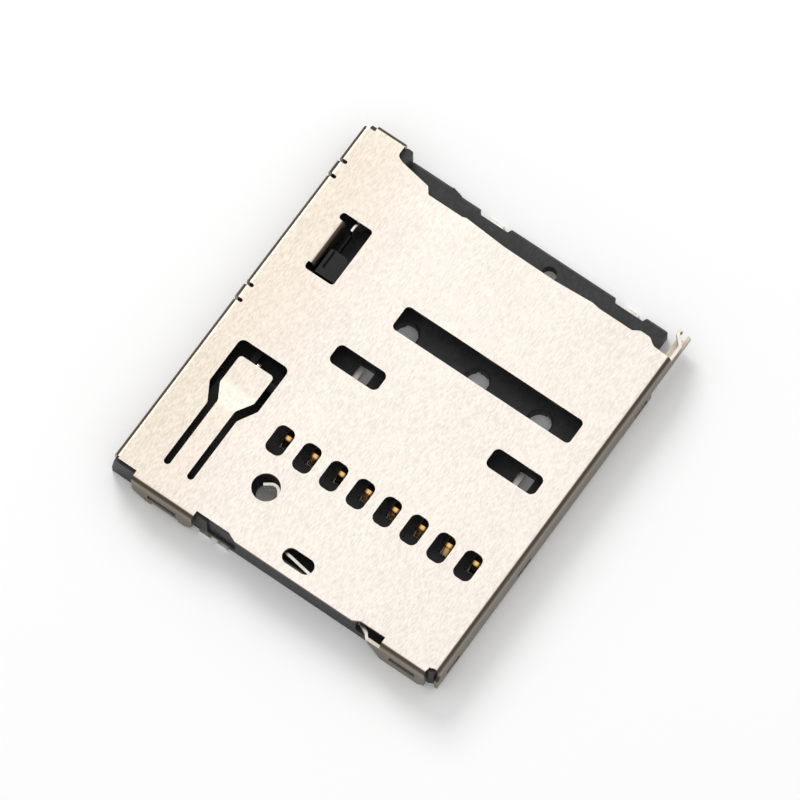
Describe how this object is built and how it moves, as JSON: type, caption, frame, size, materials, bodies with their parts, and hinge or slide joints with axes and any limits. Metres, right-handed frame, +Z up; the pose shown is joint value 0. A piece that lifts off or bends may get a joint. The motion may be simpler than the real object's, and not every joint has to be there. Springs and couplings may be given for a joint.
{
  "type": "microsd card connector",
  "caption": "Push-push surface-mount microSD card connector: folded steel shell over a moulded base, sprung contacts, heart-cam slider, cam pin, coil spring and card-detect switch.",
  "frame": {"origin": "centre of the underside, on the board's surface, between the side walls and between the rear flaps and the front flange", "axes": "+X across the card from the slider's side to the other, +Y out of the card mouth, +Z up from the board"},
  "size_m": [0.0134, 0.0153, 0.0014],
  "materials": {
    "shell_steel": "thin nickel-plated stainless sheet, very fine rolling grain along Y, warm and bright",
    "housing_plastic": "black glass-filled polymer, matt with a faint mottle",
    "contact_gold": "copper-alloy strip, gold-plated at the tips",
    "spring_metal": "thin bright spring strip",
    "tinned_metal": "tin-plated solder lug, bright",
    "slider_plastic": "black moulded polymer, smooth on its running faces",
    "wire_steel": "bright drawn stainless wire"
  },
  "bodies": {
    "housing": {"shell": "shell_steel", "base_housing": "housing_plastic", "contact_1": "contact_gold", "contact_2": "contact_gold", "contact_3": "contact_gold", "contact_4": "contact_gold", "contact_5": "contact_gold", "contact_6": "contact_gold", "contact_7": "contact_gold", "contact_8": "contact_gold", "detect_blade": "spring_metal", "detect_terminal": "spring_metal", "front_lug_left": "tinned_metal", "front_lug_right": "tinned_metal", "coil_spring": "wire_steel"},
    "slider": {"slider": "slider_plastic", "card_lock_spring": "spring_metal"},
    "cam_pin": {"cam_pin": "wire_steel"}
  },
  "joints": [
    {"name": "card_push", "type": "slide", "parent": "housing", "child": "slider", "axis": [0, -1, 0], "range_m": [0, 0.0035], "stiffness_N_per_m": 300, "springref_m": -0.003, "deforming": ["coil_spring"]},
    {"name": "cam_swing", "type": "hinge", "parent": "housing", "child": "cam_pin", "pos_m": [-0.00465, -0.0063, 0.00106], "axis": [0, 0, -1], "range_deg": [0, 10.5]}
  ]
}
